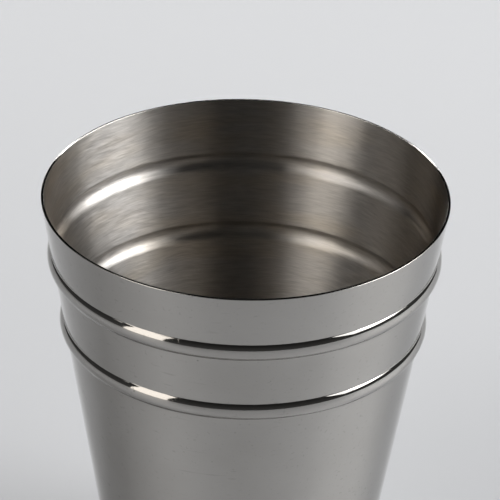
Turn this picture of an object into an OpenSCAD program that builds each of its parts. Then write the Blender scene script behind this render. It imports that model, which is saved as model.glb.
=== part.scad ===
// Julep cup: a tapered sheet-metal cup with two rolled beads below the rim,
// a brazed-in floor and a half-round moulding round its foot.
// Millimetres, +Z up. The cup stands on z = 0 and its axis is the Z axis.

/* [Cup] */
// Diameter over the wall at the mouth
mouth_d = 88; // [66:1:120]
// Diameter over the wall where it stands
foot_d = 54.4; // [42:0.2:64]
// Height from the table to the top of the rim
height = 100; // [80:1:140]
// Thickness of the wall's sheet
sheet_t = 0.6; // [0.4:0.05:1]
// Radius on the rim's two corners
rim_r = 0.12; // [0.05:0.01:0.18]

/* [Beads] */
// Distance from the rim down to the middle of the upper bead
bead_drop = 14.2; // [9:0.1:22]
// Distance from one bead to the next
bead_pitch = 16.2; // [9:0.1:26]
// Number of beads
bead_count = 2; // [0:1:3]
// How far a bead stands out from the wall
bead_proud = 1; // [0.5:0.05:1.4]
// Radius of a bead's outside
bead_r = 2.6; // [2:0.1:3.2]
// Radius in the crease above a bead
bead_crease_r = 0.35; // [0.2:0.05:1]
// Radius of the softer blend below a bead
bead_blend_r = 1.2; // [0.5:0.1:2]

/* [Floor] */
// Height of the floor's underside above the table, at its edge
floor_lift = 6; // [5:0.2:10]
// Thickness of the floor disc
floor_t = 0.9; // [0.6:0.1:1.5]
// How far the floor's middle is pressed up
floor_rise = 0.8; // [0.3:0.1:2]
// Width of the flat left round the floor's edge for its seam
floor_land = 2.4; // [2.2:0.1:5]

/* [Foot] */
// Height of the moulding round the foot
ring_h = 4.4; // [3:0.2:5.6]
// How far the moulding stands out from the wall at its widest
ring_proud = 1.5; // [1.2:0.1:2.5]
// Width of the flat under the moulding
ring_land = 1.1; // [0.6:0.1:1.2]

/* [Brazed seams] */
// Leg of the seam round the floor
floor_seam = 1.3; // [0.8:0.1:2]
// Leg of the seam above the foot moulding
foot_seam = 0.5; // [0.3:0.05:0.9]

/* [Hidden] */
$fn = 180;

// Steps along each arc of the wall and the seams
arc_steps = 10;
// Steps along the floor's crown and round the foot moulding
crown_steps = 16;

// Angle of the wall from upright, and its thickness measured level
lean = atan2((mouth_d - foot_d) / 2, height);
level_t = sheet_t / cos(lean);

// Radius of the wall's outer and inner face at a height
function wall_r(z) = foot_d / 2 + z * tan(lean);
function bore_r(z) = wall_r(z) - level_t;

// Points on an arc, from angle a to angle b
function arc(centre, r, a, b, steps) =
    [for (i = [0 : steps])
        let (t = a + (b - a) * i / steps)
        centre + r * [cos(t), sin(t)]];

// A point p = [distance up the wall, distance out from its face], counted
// from the wall's outer face at height z
function on_wall(z, p) =
    [wall_r(z), z]
    + p[0] * [sin(lean), cos(lean)]
    + p[1] * [cos(lean), -sin(lean)];

// The angle that a bead turns through on the side where it meets the wall
// with a fillet of radius fillet_r, and how far from its middle that side ends
function bead_turn(fillet_r) =
    acos((bead_r + fillet_r - bead_proud) / (bead_r + fillet_r));
function bead_reach(fillet_r) =
    (bead_r + fillet_r) * sin(bead_turn(fillet_r));

// The line of one bead, upwards: blend, bead, crease. A depth of zero gives
// its outside and a depth of sheet_t its inside, so the sheet keeps its
// thickness round each bend.
function bead_line(depth) =
    let (low = bead_turn(bead_blend_r), high = bead_turn(bead_crease_r))
    concat(
        arc([-bead_reach(bead_blend_r), bead_blend_r],
            bead_blend_r + depth, -90, low - 90, arc_steps),
        arc([0, bead_proud - bead_r],
            bead_r - depth, 90 + low, 90 - high, 2 * arc_steps),
        arc([bead_reach(bead_crease_r), bead_crease_r],
            bead_crease_r + depth, -90 - high, -90, arc_steps));

// One face of the wall from the foot up past the last bead
function wall_face(depth) = concat(
    [[depth > 0 ? bore_r(0) : wall_r(0), 0]],
    [for (i = [bead_count - 1 : -1 : 0])
        each [for (p = bead_line(depth))
            on_wall(height - bead_drop - i * bead_pitch, p)]]);

// A section between two lines that both run outwards or upwards
module section_between(first, second) {
    polygon(concat(first, [for (i = [len(second) - 1 : -1 : 0]) second[i]]));
}

// The tapered sheet with its beads. The rim is the sheet's own edge, cut
// square to the sheet, which sets the inner corner the higher, and rounded at
// both corners.
module cup_wall() {
    inner_z = height - rim_r;
    inner_corner = [bore_r(inner_z) + rim_r / cos(lean), inner_z];
    outer_corner = inner_corner + (sheet_t - 2 * rim_r) * [cos(lean), -sin(lean)];
    color("gray")
    rotate_extrude()
    section_between(
        concat(wall_face(0),
               arc(outer_corner, rim_r, -lean, 90 - lean, arc_steps),
               arc(inner_corner, rim_r, 90 - lean, 180 - lean, arc_steps)),
        wall_face(sheet_t));
}

// The floor's top at its edge
floor_top = floor_lift + floor_t;

// A pressed disc whose edge wedges in the taper: a flat land round a crown
module floor_disc() {
    crown_edge = bore_r(floor_lift) - floor_land;
    crown_r = (pow(crown_edge, 2) + pow(floor_rise, 2)) / (2 * floor_rise);
    crown = [for (i = [0 : crown_steps])
        let (r = crown_edge * i / crown_steps)
        [r, sqrt(pow(crown_r, 2) - pow(r, 2)) - crown_r + floor_rise]];
    color("gray")
    rotate_extrude()
    section_between(
        concat([for (p = crown) p + [0, floor_lift]],
               [[bore_r(floor_lift), floor_lift]]),
        concat([for (p = crown) p + [0, floor_top]],
               [[bore_r(floor_top), floor_top]]));
}

// A half-round moulding seated on the wall. It is flat where it stands, and
// level on top for its seam.
module foot_ring() {
    color("gray")
    rotate_extrude()
    polygon(concat(
        [[wall_r(0), 0]],
        [for (i = [0 : crown_steps])
            let (t = 180 * i / crown_steps - 90,
                 z = ring_h * (1 + sin(t)) / 2,
                 land = t < 0 ? ring_land : foot_seam)
            [wall_r(z) + land + (ring_proud - land) * cos(t), z]],
        [[wall_r(ring_h), ring_h]]));
}

// Filler metal in the corner between the wall and a level face: a concave
// fillet whose legs start at the corner, one of them up the wall
module seam(corner, leg, level_way) {
    up = leg * [sin(lean), cos(lean)];
    level = leg * [level_way, 0];
    color("darkgray")
    rotate_extrude()
    polygon(concat(
        [corner],
        [for (i = [0 : arc_steps])
            let (t = 90 * i / arc_steps)
            corner + level * (1 - sin(t)) + up * (1 - cos(t))]));
}

// The seam inside the cup, between the floor and the wall
module floor_braze() {
    seam([bore_r(floor_top), floor_top], floor_seam, -1);
}

// The seam outside the cup, along the top of the moulding
module foot_braze() {
    seam([wall_r(ring_h), ring_h], foot_seam, 1);
}

cup_wall();
floor_disc();
foot_ring();
floor_braze();
foot_braze();
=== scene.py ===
# %% [markdown]
# # A julep cup in polished sheet steel
# The cup is one tapered sheet of metal with two rolled beads below its rim, a
# pressed floor brazed in near the bottom and a half-round moulding round the
# foot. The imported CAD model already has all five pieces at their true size, so
# it is loaded first and never moved. Its meshes are made of flat triangles,
# which show at once in a mirror polish. So each piece is drawn again here as a
# smooth surface of revolution in the same place, and stands for its CAD node.

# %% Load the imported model
import math

import bmesh
import bpy
from mathutils import Matrix, Vector


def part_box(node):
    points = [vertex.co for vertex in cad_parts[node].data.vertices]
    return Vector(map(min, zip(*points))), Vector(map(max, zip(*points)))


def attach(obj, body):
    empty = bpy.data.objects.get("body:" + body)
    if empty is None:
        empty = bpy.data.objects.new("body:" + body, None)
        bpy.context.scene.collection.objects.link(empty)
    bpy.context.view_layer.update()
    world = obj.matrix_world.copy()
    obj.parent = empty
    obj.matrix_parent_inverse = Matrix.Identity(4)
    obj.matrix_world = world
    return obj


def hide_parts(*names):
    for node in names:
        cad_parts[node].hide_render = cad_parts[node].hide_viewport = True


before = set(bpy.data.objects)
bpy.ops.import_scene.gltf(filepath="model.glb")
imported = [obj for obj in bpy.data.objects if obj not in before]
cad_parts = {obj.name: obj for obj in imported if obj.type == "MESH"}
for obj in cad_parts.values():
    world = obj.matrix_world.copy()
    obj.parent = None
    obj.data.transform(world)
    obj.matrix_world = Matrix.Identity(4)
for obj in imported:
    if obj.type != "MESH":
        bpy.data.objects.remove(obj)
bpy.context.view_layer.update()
print("CAD nodes:", sorted(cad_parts))

# %% [markdown]
# ## Sizes
# A designer keeps the driving sizes together, so that one change moves all that
# follows from it. The height and the moulding's height come from the packed
# model. The others are the cup's own dimensions, in metres like everything in
# Blender. Heights are counted from the table that the cup stands on.

# %% The cup's sizes
MM = 0.001
MOUTH_R = 44 * MM
FOOT_R = 27.2 * MM
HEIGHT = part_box("cup_wall")[1].z
SHEET = 0.6 * MM
RIM_R = 0.12 * MM

BEAD_DROP = 14.2 * MM
BEAD_PITCH = 16.2 * MM
BEAD_COUNT = 2
BEAD_PROUD = 1.0 * MM
BEAD_R = 2.6 * MM
CREASE_R = 0.35 * MM
BLEND_R = 1.2 * MM

FLOOR_LIFT = 6.0 * MM
FLOOR_THICK = 0.9 * MM
FLOOR_RISE = 0.8 * MM
FLOOR_LAND = 2.4 * MM
FLOOR_TOP = FLOOR_LIFT + FLOOR_THICK

RING_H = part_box("foot_ring")[1].z
RING_PROUD = 1.5 * MM
RING_LAND = 1.1 * MM
FLOOR_SEAM = 1.3 * MM
FOOT_SEAM = 0.5 * MM

LEAN = math.atan((MOUTH_R - FOOT_R) / HEIGHT)
print(f"height {HEIGHT / MM:.2f} mm, wall leans {math.degrees(LEAN):.2f} degrees")

# %% [markdown]
# ## Drawing a section
# A spun cup is fully described by its section: the line that half of it shows
# when it is cut down the middle. The section lies in the XZ plane, so a point is
# a distance from the axis and a height. A straight stretch takes one to three
# edges. Each bend is one vertex spun about the bend's centre, which gives a true
# arc of any fineness. The alternative, a curve object with bevels, hides the
# exact radii that a mirror finish shows.

# %% Points on the wall
UP_WALL = Vector((math.sin(LEAN), 0, math.cos(LEAN)))
OUT_OF_WALL = Vector((math.cos(LEAN), 0, -math.sin(LEAN)))


def wall_r(z):
    """Radius of the wall's outer face at height z."""
    return FOOT_R + z * math.tan(LEAN)


def bore_r(z):
    """Radius of the wall's inner face at height z."""
    return wall_r(z) - SHEET / math.cos(LEAN)


def on_wall(z, along, out):
    """A point counted up the wall and out from its outer face, from height z."""
    return Vector((wall_r(z), 0, z)) + along * UP_WALL + out * OUT_OF_WALL


print(f"the wall is {bore_r(0) / MM:.2f} mm in radius inside its foot")

# %% Steps along a line
ARC_STEP = math.radians(4)
HOLD = 0.2 * MM
ALONG = "along"


def start_line(point):
    """A new line with its first vertex, and a place on each for its distance."""
    line = bmesh.new()
    line.verts.layers.float.new(ALONG)
    return line, line.verts.new(point)


def draw_to(line, tip, point):
    """One straight edge from the line's tip to a point."""
    new_tip = line.verts.new(point)
    line.edges.new((tip, new_tip))
    return new_tip


def straight(line, tip, point, hold=HOLD):
    """A straight stretch with a short edge at each end.

    The short edges hold the shading of the long one: without them a smooth
    normal would lean over its whole length and bend the reflections there.
    """
    way = (Vector(point) - tip.co).normalized() * hold
    tip = draw_to(line, tip, tip.co + way)
    tip = draw_to(line, tip, Vector(point) - way)
    return draw_to(line, tip, point)


def bend(line, tip, centre, turn, step=ARC_STEP):
    """An arc from the tip about a centre. A positive turn is clockwise."""
    steps = max(2, math.ceil(abs(turn) / step))
    made = bmesh.ops.spin(line, geom=[tip], cent=centre, axis=(0, 1, 0), angle=turn,
                          steps=steps)
    return next(part for part in made["geom_last"] if isinstance(part, bmesh.types.BMVert))


# %% How far a bead turns and reaches
def bead_turn(fillet_r):
    """Angle that a bead turns through on the side with this fillet."""
    return math.acos((BEAD_R + fillet_r - BEAD_PROUD) / (BEAD_R + fillet_r))


def bead_reach(fillet_r):
    """Distance along the wall from a bead's middle to where that side ends."""
    return (BEAD_R + fillet_r) * math.sin(bead_turn(fillet_r))


print(f"a bead is {(bead_reach(BLEND_R) + bead_reach(CREASE_R)) / MM:.2f} mm wide")

# %% [markdown]
# The wall needs two such lines, outside and inside, one sheet thickness apart.
# A Solidify modifier could give the second one, but round a tight crease it
# thins the sheet. Drawing both about the same centres keeps the thickness, as
# rolling does with real sheet. A bead is three arcs: a soft blend that leaves
# the wall, the round bead, and a tight crease back into the wall above it.

# %% One face of the wall
BEAD_HEIGHTS = [HEIGHT - BEAD_DROP - count * BEAD_PITCH for count in range(BEAD_COUNT)]


def bead(line, tip, z, depth):
    """One bead whose middle is at height z. Depth is 0 outside, SHEET inside."""
    low, high = bead_turn(BLEND_R), bead_turn(CREASE_R)
    tip = straight(line, tip, on_wall(z, -bead_reach(BLEND_R), -depth))
    tip = bend(line, tip, on_wall(z, -bead_reach(BLEND_R), BLEND_R), low)
    tip = bend(line, tip, on_wall(z, 0, BEAD_PROUD - BEAD_R), -low - high)
    return bend(line, tip, on_wall(z, bead_reach(CREASE_R), CREASE_R), high)


def wall_line(foot_point, depth):
    """The wall's outer or inner line from the foot up past the beads."""
    line, tip = start_line(foot_point)
    for z in reversed(BEAD_HEIGHTS):
        tip = bead(line, tip, z, depth)
    return line, tip


print("bead heights in mm:", [round(z / MM, 2) for z in BEAD_HEIGHTS])

# %% [markdown]
# ## Spinning a line into a shell
# A turn about the cup's axis makes a surface of a line. One full spin with
# use_merge would do, but each of its steps searches the whole mesh so far, and a
# fine section makes that slow. So the line is spun through a sector only, and
# the sectors are set round the axis and welded. Each line takes its own finish:
# polish outside, satin inside. Distance along the line is stored on its vertices
# first, for it becomes the U of the UV map: U runs along the section and V round
# the cup. Brushing and its stretched highlights follow that map.

# %% Measure a line and spin it
SECTORS = 16
SECTOR_STEPS = 20
WELD = 0.001 * MM


def measure(line, tip):
    """Stores on each vertex its distance from the line's tip."""
    along = line.verts.layers.float[ALONG]
    run, last = 0.0, None
    while tip is not None:
        tip[along] = run
        onward = [edge.other_vert(tip) for edge in tip.link_edges
                  if edge.other_vert(tip) is not last]
        if onward:
            run += (onward[0].co - tip.co).length
        last, tip = tip, onward[0] if onward else None


def spin_line(line, tip, shell, finish=0):
    """Spins a line round the axis into a shell. Finish is a material's index."""
    measure(line, tip)
    sector_turn = math.tau / SECTORS
    bmesh.ops.spin(line, geom=line.verts[:] + line.edges[:], cent=(0, 0, 0),
                   axis=(0, 0, 1), angle=sector_turn, steps=SECTOR_STEPS)
    for face in line.faces:
        face.material_index = finish
    sector = bpy.data.meshes.new("sector")
    line.to_mesh(sector)
    line.free()
    for _ in range(SECTORS):
        shell.from_mesh(sector)
        sector.transform(Matrix.Rotation(sector_turn, 4, "Z"))
    bpy.data.meshes.remove(sector)


print(f"each ring of the surface has {SECTORS * SECTOR_STEPS} sides")

# %% The map, the weld and the finished piece
MAP_LENGTH = 250 * MM
WRAP = "wrap"
SHARP = math.radians(35)


def wrap_map(shell):
    """UV map: U is the distance along the section, V the share of a full turn."""
    along = shell.verts.layers.float[ALONG]
    uv = shell.loops.layers.uv.new(WRAP)
    for face in shell.faces:
        middle = face.calc_center_median()
        face_turn = math.atan2(middle.y, middle.x)
        for loop in face.loops:
            co = loop.vert.co
            turn = math.atan2(co.y, co.x) if co.xy.length > WELD else face_turn
            turn += math.tau * round((face_turn - turn) / math.tau)
            loop[uv].uv = (loop.vert[along] / MAP_LENGTH, turn / math.tau)


def add_object(name, data):
    """A new object at the origin, linked to the scene."""
    made = bpy.data.objects.new(name, data)
    bpy.context.scene.collection.objects.link(made)
    return made


def finish_piece(shell, name, node, materials):
    """Welds the spun lines into a closed piece that stands for its CAD node."""
    bmesh.ops.remove_doubles(shell, verts=shell.verts, dist=WELD)
    bmesh.ops.recalc_face_normals(shell, faces=shell.faces)
    open_edges = sum(1 for edge in shell.edges if not edge.is_manifold)
    wrap_map(shell)
    mesh = bpy.data.meshes.new(name)
    shell.to_mesh(mesh)
    shell.free()
    mesh.shade_smooth()
    mesh.set_sharp_from_angle(angle=SHARP)
    for material in materials:
        mesh.materials.append(material)
    piece = add_object(name, mesh)
    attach(piece, "root")
    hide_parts(node)
    print(f"{name}: {len(mesh.polygons)} faces, {open_edges} open edges")


# %% [markdown]
# ## Steel, polished and satin
# Both finishes are the same metal. The outside is buffed to a mirror, and what
# the eye reads as its colour is what stands around the cup. The inside keeps the
# fine rings of an abrasive pad held against the turning cup. Such rings scatter
# light across themselves and hardly along themselves, which is why each lamp
# draws a tall bright band down the wall. The Principled shader makes that with
# its anisotropy, turned by a tangent that runs up the wall. Patterns that more
# than one material uses are node groups, whose sizes each material sets itself.

# %% A node group and some common nodes
DEFAULT_SIZE = 1 * MM


def new_group(name, numbers, outputs):
    """A shader node group that reads a place and some named numbers.

    It comes with its two end nodes. Each of its outputs is a number too.
    """
    group = bpy.data.node_groups.new(name, "ShaderNodeTree")
    group.interface.new_socket("Place", in_out="INPUT", socket_type="NodeSocketVector")
    for label, value in numbers.items():
        socket = group.interface.new_socket(label, in_out="INPUT", socket_type="NodeSocketFloat")
        socket.default_value = value
    for label in outputs:
        group.interface.new_socket(label, in_out="OUTPUT", socket_type="NodeSocketFloat")
    return group, group.nodes.new("NodeGroupInput"), group.nodes.new("NodeGroupOutput")


def math_node(tree, operation, first, second=None):
    """A Math node whose inputs are sockets or numbers."""
    node = tree.nodes.new("ShaderNodeMath")
    node.operation = operation
    for socket, value in zip(node.inputs, (first, second)):
        if isinstance(value, bpy.types.NodeSocket):
            tree.links.new(value, socket)
        elif value is not None:
            socket.default_value = value
    return node.outputs[0]


def scaled_place(tree, place, size):
    """A place divided by a size, so that a noise on it has features of that size."""
    node = tree.nodes.new("ShaderNodeVectorMath")
    node.operation = "DIVIDE"
    tree.links.new(place, node.inputs[0])
    tree.links.new(size, node.inputs[1])
    return node.outputs[0]


def noise_node(tree, vector, detail, roughness=0.5):
    """A 3-D noise on a place that has already been divided by the noise's size."""
    node = tree.nodes.new("ShaderNodeTexNoise")
    node.inputs["Scale"].default_value = 1
    node.inputs["Detail"].default_value = detail
    node.inputs["Roughness"].default_value = roughness
    tree.links.new(vector, node.inputs["Vector"])
    return node.outputs["Fac"]


# %% [markdown]
# The grain is noise whose coordinates are stretched: slow round the cup and fast
# up the wall. Round the cup it reads Object X and Y, which have no seam. Up the
# wall it reads U, so that the rings stay even over the beads and on the floor,
# where height alone would not change. A fine noise gives single scratches and a
# coarse one the bands that an uneven pad leaves. No pad is held quite level, so
# a third noise lifts and lowers the rings as they go round.

# %% Brushed rings
GRAIN_DETAIL = {"Line": 3.0, "Band": 2.0}
GRAIN_SIZES = ["Line Width", "Line Length", "Band Width", "Band Length",
               "Drift Height", "Drift Size"]


def ring_grain_group():
    """Fine rings and broad bands, both between 0 and 1."""
    group, ends_in, ends_out = new_group(
        "brushed_rings", {"Along": 0, **dict.fromkeys(GRAIN_SIZES, DEFAULT_SIZE)},
        ["Lines", "Bands"])
    split = group.nodes.new("ShaderNodeSeparateXYZ")
    group.links.new(ends_in.outputs["Place"], split.inputs[0])
    wander = noise_node(group, scaled_place(group, ends_in.outputs["Place"],
                                            ends_in.outputs["Drift Size"]), detail=1)
    drift = math_node(group, "MULTIPLY", math_node(group, "SUBTRACT", wander, 0.5),
                      ends_in.outputs["Drift Height"])
    drifted = math_node(group, "ADD", ends_in.outputs["Along"], drift)
    for kind, detail in GRAIN_DETAIL.items():
        length = ends_in.outputs[f"{kind} Length"]
        place = group.nodes.new("ShaderNodeCombineXYZ")
        for axis in "XY":
            group.links.new(math_node(group, "DIVIDE", split.outputs[axis], length),
                            place.inputs[axis])
        across = math_node(group, "DIVIDE", drifted, ends_in.outputs[f"{kind} Width"])
        group.links.new(across, place.inputs["Z"])
        group.links.new(noise_node(group, place.outputs[0], detail), ends_out.inputs[f"{kind}s"])
    return group


RING_GRAIN = ring_grain_group()
print("group:", RING_GRAIN.name)


# %% A material and the places that its patterns read
def new_material(name, color, roughness):
    """A material with one colour and one gloss, and its Principled node."""
    material = bpy.data.materials.new(name)
    material.use_nodes = True
    shader = material.node_tree.nodes["Principled BSDF"]
    shader.inputs["Base Color"].default_value = (*color, 1)
    shader.inputs["Roughness"].default_value = roughness
    return material, shader


def new_metal(name, color, roughness):
    """A metal, the object's own place, and the UV map's U in metres."""
    material, shader = new_material(name, color, roughness)
    shader.inputs["Metallic"].default_value = 1
    tree = material.node_tree
    place = tree.nodes.new("ShaderNodeTexCoord").outputs["Object"]
    uv = tree.nodes.new("ShaderNodeUVMap")
    uv.uv_map = WRAP
    split = tree.nodes.new("ShaderNodeSeparateXYZ")
    tree.links.new(uv.outputs["UV"], split.inputs[0])
    along = math_node(tree, "MULTIPLY", split.outputs["X"], MAP_LENGTH)
    return material, tree, shader, place, along


def add_group(tree, group, values):
    """Places a group in a material. A value is a number or another socket."""
    node = tree.nodes.new("ShaderNodeGroup")
    node.node_tree = group
    for label, value in values.items():
        socket = node.inputs[label]
        if isinstance(value, bpy.types.NodeSocket):
            tree.links.new(value, socket)
        else:
            socket.default_value = value
    return node


def add_grain(tree, place, along, line, band, drift):
    """The ring group. Each size is a pair in millimetres, the short way first."""
    sizes = [part * MM for part in (*line, *band, *drift)]
    node = add_group(tree, RING_GRAIN,
                     {"Place": place, "Along": along, **dict(zip(GRAIN_SIZES, sizes))})
    return node.outputs["Lines"], node.outputs["Bands"]


def spread(tree, value, low, high, low_in=0.0, high_in=1.0):
    """A value between two limits laid out between two others."""
    node = tree.nodes.new("ShaderNodeMapRange")
    tree.links.new(value, node.inputs["Value"])
    node.inputs["From Min"].default_value = low_in
    node.inputs["From Max"].default_value = high_in
    node.inputs["To Min"].default_value = low
    node.inputs["To Max"].default_value = high
    return node.outputs["Result"]


def add_bump(tree, shader, height):
    """A Bump node between a height in metres and the shader's normal."""
    bump = tree.nodes.new("ShaderNodeBump")
    bump.inputs["Distance"].default_value = 1
    tree.links.new(height, bump.inputs["Height"])
    tree.links.new(bump.outputs["Normal"], shader.inputs["Normal"])


# %% A mix of two colours
def mix_color(tree, amount, first, second):
    """A colour between two others, which are sockets or plain colours."""
    node = tree.nodes.new("ShaderNodeMix")
    node.data_type = "RGBA"
    tree.links.new(amount, node.inputs["Factor"])
    for label, color in (("A", first), ("B", second)):
        socket = next(item for item in node.inputs if item.name == label and item.type == "RGBA")
        if isinstance(color, bpy.types.NodeSocket):
            tree.links.new(color, socket)
        else:
            socket.default_value = (*color, 1)
    return next(item for item in node.outputs if item.type == "RGBA")


# %% [markdown]
# A mirror is never quite even. Rolling and buffing leave it slightly wavy over
# some millimetres, a hand leaves faint smudges, wiping leaves hairlines, and the
# sheet has a pit here and there that the buff went over. The group below gives
# all four, so that the wall, the foot and the seams can each take their share.
# The hairlines are the peaks of a noise that is stretched along the wipe, which
# makes short straight marks that fade at both ends. A drinker wipes in more than
# one direction, so there are two sets. The pits are the nearest surroundings of
# a Voronoi texture's points.

# %% Handling marks
WAVE_SIZE = 8 * MM
SMUDGE_SIZE = 18 * MM
SMUDGE_DETAIL = 4
SMUDGE_BREAKUP = 0.6
SMUDGE_RANGE = (0.35, 0.65)
HAIRLINE_SIZE = (0.6 * MM, 12 * MM, 0.6 * MM)
HAIRLINE_RANGE = (0.74, 0.86)
WIPE_TURNS = ((0, 0, 75), (25, 0, 10))
PIT_SPACING = 7 * MM
PIT_SHARE = 0.035


def handling_group():
    """Waves and smudges between 0 and 1, and marks that are 1 on a scratch or pit."""
    group, ends_in, ends_out = new_group(
        "handling_marks", {"Wave Size": WAVE_SIZE, "Smudge Size": SMUDGE_SIZE},
        ["Waves", "Smudges", "Hairlines", "Pits"])
    place = ends_in.outputs["Place"]
    waves = noise_node(group, scaled_place(group, place, ends_in.outputs["Wave Size"]), detail=1)
    group.links.new(waves, ends_out.inputs["Waves"])
    smudges = noise_node(group, scaled_place(group, place, ends_in.outputs["Smudge Size"]),
                         SMUDGE_DETAIL, SMUDGE_BREAKUP)
    group.links.new(spread(group, smudges, 0, 1, *SMUDGE_RANGE), ends_out.inputs["Smudges"])

    wipes = []
    for wipe_turn in WIPE_TURNS:
        wipe = group.nodes.new("ShaderNodeMapping")
        wipe.vector_type = "TEXTURE"
        wipe.inputs["Rotation"].default_value = [math.radians(angle) for angle in wipe_turn]
        wipe.inputs["Scale"].default_value = HAIRLINE_SIZE
        group.links.new(place, wipe.inputs["Vector"])
        peaks = noise_node(group, wipe.outputs["Vector"], detail=0)
        wipes.append(spread(group, peaks, 0, 1, *HAIRLINE_RANGE))
    group.links.new(math_node(group, "MAXIMUM", *wipes), ends_out.inputs["Hairlines"])

    cells = group.nodes.new("ShaderNodeTexVoronoi")
    cells.inputs["Scale"].default_value = 1 / PIT_SPACING
    group.links.new(place, cells.inputs["Vector"])
    off = math_node(group, "DIVIDE", cells.outputs["Distance"], PIT_SHARE)
    group.links.new(spread(group, off, 1, 0), ends_out.inputs["Pits"])
    return group


HANDLING = handling_group()
print(f"group: {HANDLING.name}, a pit every {PIT_SPACING / MM:.0f} mm or so")

# %% [markdown]
# Where a bead runs back into the wall there is a narrow hollow, and a buffing
# wheel rides over it, so the polish there is a little rougher. A near-black band
# of painted shade is laid into the colour there as well. The group marks a band
# at a height, which is enough on a wall that stands nearly upright.


# %% Painted shade in the creases
def painted_crease_shade_group():
    """A soft band round the cup at a height: 1 in its middle, 0 off it."""
    group, ends_in, ends_out = new_group(
        "painted_crease_shade", {"Height": 0, "Half Width": DEFAULT_SIZE}, ["Band"])
    split = group.nodes.new("ShaderNodeSeparateXYZ")
    group.links.new(ends_in.outputs["Place"], split.inputs[0])
    off = math_node(group, "SUBTRACT", split.outputs["Z"], ends_in.outputs["Height"])
    off = math_node(group, "DIVIDE", math_node(group, "ABSOLUTE", off),
                    ends_in.outputs["Half Width"])
    band = math_node(group, "SUBTRACT", 1.0, math_node(group, "MULTIPLY", off, off))
    group.links.new(math_node(group, "MAXIMUM", band, 0.0), ends_out.inputs["Band"])
    return group


CREASE_SHADE_GROUP = painted_crease_shade_group()
print("groups:", [group.name for group in bpy.data.node_groups])

# %% [markdown]
# ## The finishes
# The polished steel is the plain mirror plus those marks, all of them faint: a
# clean cup shows them only where a bright edge is reflected. The dark band in
# each crease is not faint: it is painted shade. Where the foot stands on tables
# the polish is scuffed.

# %% Polished steel
STEEL = (0.60, 0.582, 0.553)
SMUDGED = (0.565, 0.547, 0.517)
# The dark of polish left in hairlines and pits, and also the painted shade laid into the creases.
RESIDUE_AND_CREASE_SHADE = (0.06, 0.057, 0.054)
MIRROR_ROUGHNESS = 0.03
SMUDGED_ROUGHNESS = 0.10
HAIRLINE_ROUGHNESS = 0.12
SCUFF_ROUGHNESS = 0.25
DULL_ROUGHNESS = 0.10
HAIRLINE_SHADE = 0.14
PIT_SHADE = 0.8
WAVE_HEIGHT = 0.006 * MM
HAIRLINE_DEPTH = 0.002 * MM
PIT_DEPTH = 0.02 * MM
SCUFF_HEIGHT = 0.35 * MM
CREASE_HALF_WIDTH = 0.34 * MM
CREASE_SHADE = (0.8, 1.0)


def crease_heights():
    """Height of the lower crease of each bead."""
    drop = BEAD_R * math.sin(bead_turn(BLEND_R))
    proud = BEAD_PROUD - BEAD_R * (1 - math.cos(bead_turn(BLEND_R)))
    return [on_wall(z, -drop, proud).z for z in BEAD_HEIGHTS]


def polished_steel(name="polished_steel", creases=()):
    """The mirror finish. Creases are the heights of its bands of painted shade."""
    material, tree, shader, place, _ = new_metal(name, STEEL, MIRROR_ROUGHNESS)
    marks = add_group(tree, HANDLING, {"Place": place})
    smudges, hairlines, pits = (marks.outputs[label] for label in ("Smudges", "Hairlines", "Pits"))
    color = mix_color(tree, smudges, STEEL, SMUDGED)
    color = mix_color(tree, math_node(tree, "MULTIPLY", hairlines, HAIRLINE_SHADE), color, RESIDUE_AND_CREASE_SHADE)
    color = mix_color(tree, math_node(tree, "MULTIPLY", pits, PIT_SHADE), color, RESIDUE_AND_CREASE_SHADE)
    rough = spread(tree, smudges, MIRROR_ROUGHNESS, SMUDGED_ROUGHNESS)
    rough = math_node(tree, "ADD", rough,
                      math_node(tree, "MULTIPLY", hairlines, HAIRLINE_ROUGHNESS))
    for crease_z in creases:
        crease = add_group(tree, CREASE_SHADE_GROUP, {"Place": place, "Height": crease_z,
                                               "Half Width": CREASE_HALF_WIDTH})
        # Painted shade: the crease band darkens the colour towards near-black, and it adds
        # roughness there.
        crease_shade_mask = math_node(tree, "MULTIPLY", crease.outputs["Band"],
                         spread(tree, smudges, *CREASE_SHADE))
        color = mix_color(tree, crease_shade_mask, color, RESIDUE_AND_CREASE_SHADE)
        rough = math_node(tree, "ADD", rough, math_node(tree, "MULTIPLY", crease_shade_mask, DULL_ROUGHNESS))
    split = tree.nodes.new("ShaderNodeSeparateXYZ")
    tree.links.new(place, split.inputs[0])
    scuff = math_node(tree, "LESS_THAN", split.outputs["Z"], SCUFF_HEIGHT)
    rough = math_node(tree, "ADD", rough, math_node(tree, "MULTIPLY", scuff, SCUFF_ROUGHNESS))
    tree.links.new(color, shader.inputs["Base Color"])
    tree.links.new(rough, shader.inputs["Roughness"])
    height = math_node(tree, "MULTIPLY", marks.outputs["Waves"], WAVE_HEIGHT)
    for mark, depth in ((hairlines, HAIRLINE_DEPTH), (pits, PIT_DEPTH)):
        height = math_node(tree, "SUBTRACT", height, math_node(tree, "MULTIPLY", mark, depth))
    add_bump(tree, shader, height)
    return material


# %% [markdown]
# The satin is brushed by hand, so it is uneven in the way of real brushing:
# single lines two tenths of a millimetre wide, and streaks of about a millimetre
# where the pad bit harder or changed course. The streaks are real hollows, so
# they go into the Bump node: they turn the bright bands cloudy at their edges,
# which a change of colour alone cannot do. Colour and roughness follow faintly.
# Light runs round inside a cup by glances along the wall, and there a brushed
# face sends on less than the shader assumes, because its scratches shade one
# another. The Specular Tint lowers those glances, so that the sides of the mouth
# stay dark. The grain's sizes are pairs in millimetres: across the rings first,
# then along them.

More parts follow.
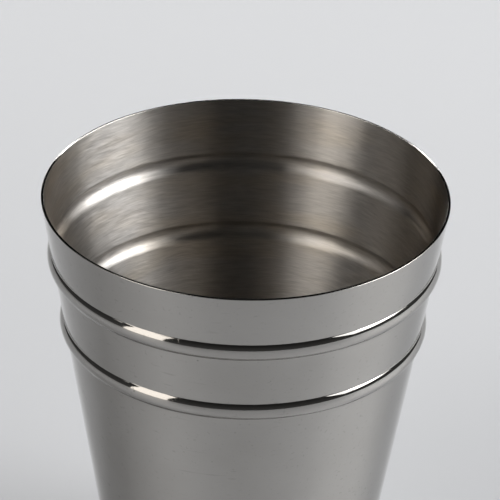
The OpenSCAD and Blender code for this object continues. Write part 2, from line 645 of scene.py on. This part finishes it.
# %% Satin steel
SATIN = (0.55, 0.527, 0.50)
SATIN_WARM = (0.56, 0.515, 0.455)
SATIN_EDGE = (0.40, 0.36, 0.32)
SATIN_ROUGHNESS = (0.32, 0.39)
SATIN_SHADE = (0.84, 1.12)
ANISOTROPY = 0.97
LINE_DEPTH = 0.003 * MM
STREAK_DEPTH = 0.022 * MM
LINES = (0.14, 3)
STREAKS = (0.55, 4.5)
LINE_DRIFT = (3.5, 16)
HAIRS = (0.3, 9)
PATCHES = (7, 22)
HAIR_DRIFT = (-3, 19)
LINE_SHARE = 0.4
HAIR_SHARE = 0.25
STREAK_SHARE = 0.35
GRAIN_RANGE = (0.38, 0.62)
PATCH_RANGE = (0.45, 0.7)


def shade_of(color, shade):
    """A colour made darker or lighter."""
    return tuple(part * shade for part in color)


def satin_steel():
    """The brushed finish, whose tangent runs up the wall from the UV map."""
    material, tree, shader, place, along = new_metal("satin_steel", SATIN, SATIN_ROUGHNESS[0])
    shader.inputs["Anisotropic"].default_value = ANISOTROPY
    shader.inputs["Specular Tint"].default_value = (*SATIN_EDGE, 1)
    tangent = tree.nodes.new("ShaderNodeTangent")
    tangent.direction_type = "UV_MAP"
    tangent.uv_map = WRAP
    tree.links.new(tangent.outputs["Tangent"], shader.inputs["Tangent"])
    lines, streaks = add_grain(tree, place, along, LINES, STREAKS, LINE_DRIFT)
    hairs, patches = add_grain(tree, place, along, HAIRS, PATCHES, HAIR_DRIFT)
    grain = math_node(tree, "ADD", math_node(tree, "MULTIPLY", lines, LINE_SHARE),
                      math_node(tree, "MULTIPLY", hairs, HAIR_SHARE))
    grain = math_node(tree, "ADD", grain, math_node(tree, "MULTIPLY", streaks, STREAK_SHARE))
    grain = spread(tree, grain, 0, 1, *GRAIN_RANGE)
    warm = spread(tree, patches, 0, 1, *PATCH_RANGE)
    dark, light = (mix_color(tree, warm, shade_of(SATIN, shade), shade_of(SATIN_WARM, shade))
                   for shade in SATIN_SHADE)
    tree.links.new(mix_color(tree, grain, dark, light), shader.inputs["Base Color"])
    tree.links.new(spread(tree, grain, *SATIN_ROUGHNESS), shader.inputs["Roughness"])
    height = math_node(tree, "ADD", math_node(tree, "MULTIPLY", lines, LINE_DEPTH),
                       math_node(tree, "MULTIPLY", streaks, STREAK_DEPTH))
    add_bump(tree, shader, height)
    return material


POLISHED, BRUSHED = polished_steel(), satin_steel()
WALL_POLISH = polished_steel("wall_polish", crease_heights())
print("finishes:", POLISHED.name, WALL_POLISH.name, BRUSHED.name)

# %% [markdown]
# ## The wall
# The outer line runs from the foot up over the rim. The rim is the sheet's own
# edge, cut square and broken with a file and a buff at both corners. That flat,
# a third of a millimetre wide, is what draws the dark line round the mouth: a
# full round would catch a lamp somewhere along its curve. The inner line starts
# at the foot as well. Where the two meet, at the foot and under the rim, the
# weld joins them into one closed shell.

# %% Spin the cup's wall
EDGE_STEP = math.radians(9)
RIM_HOLD = 0.04 * MM
WALL_FINISHES = [WALL_POLISH, BRUSHED]
inner_z = HEIGHT - RIM_R
inner_corner = Vector((bore_r(inner_z) + RIM_R / math.cos(LEAN), 0, inner_z))
outer_corner = inner_corner + OUT_OF_WALL * (SHEET - 2 * RIM_R)

shell = bmesh.new()
line, tip = wall_line((wall_r(0), 0, 0), 0)
tip = straight(line, tip, outer_corner + OUT_OF_WALL * RIM_R)
tip = bend(line, tip, outer_corner, -math.pi / 2, EDGE_STEP)
tip = straight(line, tip, inner_corner + UP_WALL * RIM_R, RIM_HOLD)
tip = bend(line, tip, inner_corner, -math.pi / 2, EDGE_STEP)
spin_line(line, tip, shell)

line, tip = start_line((wall_r(0), 0, 0))
spin_line(line, draw_to(line, tip, (bore_r(0), 0, 0)), shell)

line, tip = wall_line((bore_r(0), 0, 0), SHEET)
tip = straight(line, tip, inner_corner - OUT_OF_WALL * RIM_R)
spin_line(line, tip, shell, finish=WALL_FINISHES.index(BRUSHED))
finish_piece(shell, "cup_shell", "cup_wall", WALL_FINISHES)

# %% [markdown]
# ## The floor
# A pressed disc: a shallow crown keeps it from drumming, and a flat land round
# the crown gives the brazed seam something to hold. Both faces are drawn in one
# line from the axis out and back.

# %% Spin the floor
crown_edge = bore_r(FLOOR_LIFT) - FLOOR_LAND
crown_r = (crown_edge ** 2 + FLOOR_RISE ** 2) / (2 * FLOOR_RISE)
crown_turn = math.asin(crown_edge / crown_r)
CROWN_STEP = math.radians(0.25)
under_centre = Vector((0, 0, FLOOR_LIFT + FLOOR_RISE - crown_r))
top_centre = under_centre + Vector((0, 0, FLOOR_THICK))

shell = bmesh.new()
line, tip = start_line((0, 0, FLOOR_LIFT + FLOOR_RISE))
tip = bend(line, tip, under_centre, crown_turn, CROWN_STEP)
tip = draw_to(line, tip, (bore_r(FLOOR_LIFT), 0, FLOOR_LIFT))
tip = draw_to(line, tip, (bore_r(FLOOR_TOP), 0, FLOOR_TOP))
tip = straight(line, tip, (crown_edge, 0, FLOOR_TOP))
tip = bend(line, tip, top_centre, -crown_turn, CROWN_STEP)
spin_line(line, tip, shell)
finish_piece(shell, "cup_floor", "floor_disc", [BRUSHED])

# %% [markdown]
# ## The foot moulding
# A half-round strip seated on the wall, flat where it stands and level on top
# for its seam. Its outline is a flattened round, so it starts as a true half
# circle, and its points are then squeezed towards the wall and set on its lean.

# %% Spin the foot moulding
shell = bmesh.new()
line, tip = start_line((0, 0, -RING_H / 2))
tip = bend(line, tip, (0, 0, 0), -math.pi / 2)
tip = bend(line, tip, (0, 0, 0), -math.pi / 2)
for vert in line.verts:
    land = RING_LAND if vert.co.z < 0 else FOOT_SEAM
    out = land + (RING_PROUD - land) * vert.co.x / (RING_H / 2)
    vert.co.z += RING_H / 2
    vert.co.x = wall_r(vert.co.z) + out
tip = draw_to(line, tip, (wall_r(RING_H), 0, RING_H))
tip = draw_to(line, tip, (wall_r(0), 0, 0))
tip = draw_to(line, tip, (wall_r(0) + RING_LAND, 0, 0))
spin_line(line, tip, shell)
finish_piece(shell, "foot_moulding", "foot_ring", [POLISHED])

# %% [markdown]
# ## The brazed seams
# Silver brazing metal runs into a corner and sets as a small hollow fillet. It
# is yellower than the steel, it keeps the ripples of its setting, and it is only
# dressed with a wire brush, so its gloss changes from place to place. The same
# marks group serves, with short waves that are much higher.

# %% Brazing metal
BRAZE_PALE = (0.68, 0.65, 0.60)
BRAZE_DARK = (0.56, 0.51, 0.44)
BRAZE_ROUGHNESS = (0.20, 0.36)
RIPPLE_SIZE = 2.2 * MM
PATCH_SIZE = 3 * RIPPLE_SIZE
RIPPLE_HEIGHT = 0.035 * MM


def brazed_steel():
    """Filler metal with ripples, and patches of another gloss and colour."""
    material, tree, shader, place, _ = new_metal("braze", BRAZE_PALE, BRAZE_ROUGHNESS[0])
    marks = add_group(tree, HANDLING, {"Place": place, "Wave Size": RIPPLE_SIZE,
                                       "Smudge Size": PATCH_SIZE})
    patches = marks.outputs["Smudges"]
    tree.links.new(mix_color(tree, patches, BRAZE_PALE, BRAZE_DARK), shader.inputs["Base Color"])
    tree.links.new(spread(tree, patches, *BRAZE_ROUGHNESS), shader.inputs["Roughness"])
    add_bump(tree, shader, math_node(tree, "MULTIPLY", marks.outputs["Waves"], RIPPLE_HEIGHT))
    return material


BRAZE = brazed_steel()
print("seam metal:", BRAZE.name)


# %% Draw both seams
def seam(name, node, corner, leg, level_way):
    """A hollow fillet in the corner between the wall and a level face."""
    up = UP_WALL * leg
    level = Vector((level_way, 0, 0)) * leg
    line, tip = start_line((1, 0, 0))
    tip = bend(line, tip, (1, 0, 1), math.pi / 2, EDGE_STEP)
    for vert in line.verts:
        vert.co = Vector(corner) + level * vert.co.x + up * vert.co.z
    tip = draw_to(line, tip, corner)
    tip = draw_to(line, tip, Vector(corner) + level)
    shell = bmesh.new()
    spin_line(line, tip, shell)
    finish_piece(shell, name, node, [BRAZE])


seam("floor_seam", "floor_braze", (bore_r(FLOOR_TOP), 0, FLOOR_TOP), FLOOR_SEAM, -1)
seam("foot_seam", "foot_braze", (wall_r(RING_H), 0, RING_H), FOOT_SEAM, 1)

# %% [markdown]
# ## The studio
# Polished metal has no colour of its own to speak of: it shows the room. So the
# studio is planned from what the cup has to reflect. The floor is pale and plain,
# with a little sheen, and it fills most of the outside, because the wall leans
# out over it. It ends far outside every view.

# %% The floor that the cup stands on
STAGE_R = 4.0
STAGE_SIDES = 96
PALE = (0.48, 0.49, 0.51)
FLOOR_ROUGHNESS = 0.42

stage = bmesh.new()
bmesh.ops.create_circle(stage, cap_ends=True, segments=STAGE_SIDES, radius=STAGE_R)
stage_mesh = bpy.data.meshes.new("studio_floor")
stage.to_mesh(stage_mesh)
stage.free()
pale, _ = new_material("pale_floor", PALE, FLOOR_ROUGHNESS)
stage_mesh.materials.append(pale)
studio_floor = add_object("studio_floor", stage_mesh)
print(f"studio floor: {2 * STAGE_R:.0f} m across")

# %% [markdown]
# The camera stands where the photograph was taken from. A long lens a metre away
# keeps near and far sides of the cup much the same size. Its place is an angle
# and a distance from the middle of the mouth. It was not held quite level or
# aimed quite at that point, hence the small pan, tilt and roll.

# %% The camera
SENSOR_WIDTH_MM = 36
LENS_MM = 330.8
CLIP_NEAR = 0.05
CLIP_FAR = 20
CAMERA_AWAY = 0.9856
CAMERA_UP = math.radians(29.384)
CAMERA_PAN = math.radians(0.067)
CAMERA_TILT = math.radians(-0.680)
CAMERA_ROLL = math.radians(1.367)

camera_data = bpy.data.cameras.new("camera")
camera_data.sensor_width = SENSOR_WIDTH_MM
camera_data.lens = LENS_MM
camera_data.clip_start = CLIP_NEAR
camera_data.clip_end = CLIP_FAR
camera = add_object("camera", camera_data)
back = Vector((0, -math.cos(CAMERA_UP), math.sin(CAMERA_UP)))
right = Vector((1, 0, 0))
up = right.cross(-back)
aim = (-back + math.tan(CAMERA_PAN) * right + math.tan(CAMERA_TILT) * up).normalized()
right = aim.cross(up).normalized()
up = right.cross(aim)
rolled_right = math.cos(CAMERA_ROLL) * right + math.sin(CAMERA_ROLL) * up
rolled_up = math.cos(CAMERA_ROLL) * up - math.sin(CAMERA_ROLL) * right
turn = Matrix((rolled_right, rolled_up, -aim)).transposed().to_4x4()
camera.matrix_world = Matrix.Translation(back * CAMERA_AWAY + Vector((0, 0, HEIGHT))) @ turn
bpy.context.scene.camera = camera
print(f"camera: {LENS_MM} mm lens, {CAMERA_AWAY:.2f} m from the mouth")

# %% [markdown]
# ## The lamps
# Each lamp is a soft rectangle more than two metres away, named by the part of
# the sky that it fills for the cup. The key stands to the right. It draws the
# bright band down the satin inside and the thin white line along each bead, and
# a weaker, wider lamp round it, the halo, gives that band a soft edge. Two warm
# panels stand upright on the left. The bright one gives the second band and the
# strip on each bead that is cut off clean. The dim one lengthens that strip, and
# starts high, because the inside of the cup sees most of what is low. The high
# lamp on the left lights the lower side of the grooves inside, which is the only
# part of them that faces so far up. The back lamp skims the floor towards the
# viewer, so that it looks paler than what the cup reflects of it.


# %% A lamp that fills a window of the sky
LAMP_AWAY = 2.2
RADIANCE_TO_WATTS = math.pi


def spanned(angle):
    """The length that fills an angle, in degrees, at the lamps' distance."""
    return 2 * LAMP_AWAY * math.tan(math.radians(angle / 2))


def soft_lamp(name, width, height, radiance, color):
    """An area lamp. A mirror shows radiance 1 as pure white."""
    data = bpy.data.lights.new(name, "AREA")
    data.shape = "RECTANGLE"
    data.size = width
    data.size_y = height
    data.energy = radiance * width * height * RADIANCE_TO_WATTS
    data.color = color
    lamp = add_object(name, data)
    lamp.visible_camera = False
    return lamp


def aim_lamp(lamp, location, way):
    """Puts a lamp in its place with its face turned against the way."""
    lamp.location = location
    lamp.rotation_euler = (-way).to_track_quat("-Z", "Y").to_euler()


def heading_way(heading, elevation=0.0):
    """A direction from the cup: heading from +X towards +Y, both in degrees."""
    turn, lift = math.radians(heading), math.radians(elevation)
    return Vector((math.cos(lift) * math.cos(turn), math.cos(lift) * math.sin(turn),
                   math.sin(lift)))


def softbox(name, heading, wide, low, high, radiance, color=(1, 1, 1)):
    """A lamp tilted to face the cup, from one elevation to another, in degrees."""
    lamp = soft_lamp(name, spanned(wide), spanned(high - low), radiance, color)
    way = heading_way(heading, (low + high) / 2)
    aim_lamp(lamp, way * LAMP_AWAY, way)


def standing_panel(name, heading, wide, low, high, radiance, color=(1, 1, 1)):
    """A lamp that stands upright, so that its ends reflect as clean cuts."""
    foot, top = (LAMP_AWAY * math.tan(math.radians(lift)) for lift in (low, high))
    lamp = soft_lamp(name, spanned(wide), top - foot, radiance, color)
    way = heading_way(heading)
    aim_lamp(lamp, way * LAMP_AWAY + Vector((0, 0, (foot + top) / 2)), way)


# %% Set the lamps
NEARLY_WHITE = (1.0, 0.98, 0.96)
WARM_WHITE = (1.0, 0.97, 0.94)
WARMEST = (1.0, 0.95, 0.89)

softbox("key", heading=2, wide=36, low=23, high=47, radiance=6.3)
softbox("key_halo", heading=4, wide=60, low=20, high=54, radiance=1.9)
standing_panel("panel_dim", heading=178, wide=36, low=30, high=52, radiance=0.70,
               color=WARM_WHITE)
standing_panel("panel_bright", heading=215, wide=24, low=0.3, high=50, radiance=1.60,
               color=WARMEST)
softbox("high_left", heading=204, wide=36, low=50, high=62, radiance=3.2, color=NEARLY_WHITE)
softbox("back", heading=90, wide=44, low=20, high=32, radiance=9.5)
print("lamps:", [light.name for light in bpy.data.lights])

# %% [markdown]
# The back lamp would also shine into the mouth and fill the dark bands inside,
# which give the satin its depth. Photographers hold a small black card, a flag,
# between such a lamp and the subject. This one stands behind the cup, high
# enough to leave the floor round it in the light, and the camera does not see it.

# %% The flag behind the mouth
FLAG_BEHIND = 250 * MM
FLAG_LOW = 185 * MM
FLAG_HIGH = 340 * MM
FLAG_HALF = 170 * MM
CARD_BLACK = (0.01, 0.01, 0.01)

card = bmesh.new()
bmesh.ops.create_grid(card, x_segments=1, y_segments=1, size=1)
bmesh.ops.scale(card, vec=(FLAG_HALF, (FLAG_HIGH - FLAG_LOW) / 2, 1), verts=card.verts)
bmesh.ops.rotate(card, matrix=Matrix.Rotation(math.pi / 2, 3, "X"), verts=card.verts)
bmesh.ops.translate(card, vec=(0, FLAG_BEHIND, (FLAG_LOW + FLAG_HIGH) / 2), verts=card.verts)
card_mesh = bpy.data.meshes.new("flag")
card.to_mesh(card_mesh)
card.free()
black, black_shader = new_material("black_card", CARD_BLACK, roughness=1)
black_shader.inputs["Specular IOR Level"].default_value = 0
card_mesh.materials.append(black)
flag = add_object("flag", card_mesh)
flag.visible_camera = False
print(f"flag: {FLAG_BEHIND / MM:.0f} mm behind the cup's axis, from {FLAG_LOW / MM:.0f} mm up")

# %% [markdown]
# Above the lamps' reach the room is dim: a little light near the horizon and
# almost none overhead. That gives the beads their dark line with a soft start.

# %% The dim room
ROOM_LOW = 0.05
ROOM_HIGH = 0.015
ROOM_TOP = 0.65

world = bpy.data.worlds.new("dim_room")
world.use_nodes = True
tree = world.node_tree
place = tree.nodes.new("ShaderNodeTexCoord")
split = tree.nodes.new("ShaderNodeSeparateXYZ")
fade = tree.nodes.new("ShaderNodeMapRange")
fade.inputs["From Max"].default_value = ROOM_TOP
fade.inputs["To Min"].default_value = ROOM_LOW
fade.inputs["To Max"].default_value = ROOM_HIGH
tree.links.new(place.outputs["Generated"], split.inputs[0])
tree.links.new(split.outputs["Z"], fade.inputs["Value"])
tree.links.new(fade.outputs["Result"], tree.nodes["Background"].inputs["Strength"])
tree.nodes["Background"].inputs["Color"].default_value = (1, 1, 1, 1)
bpy.context.scene.world = world
bpy.context.scene.view_settings.view_transform = "Standard"
print("room:", world.name, "from", ROOM_LOW, "down to", ROOM_HIGH)
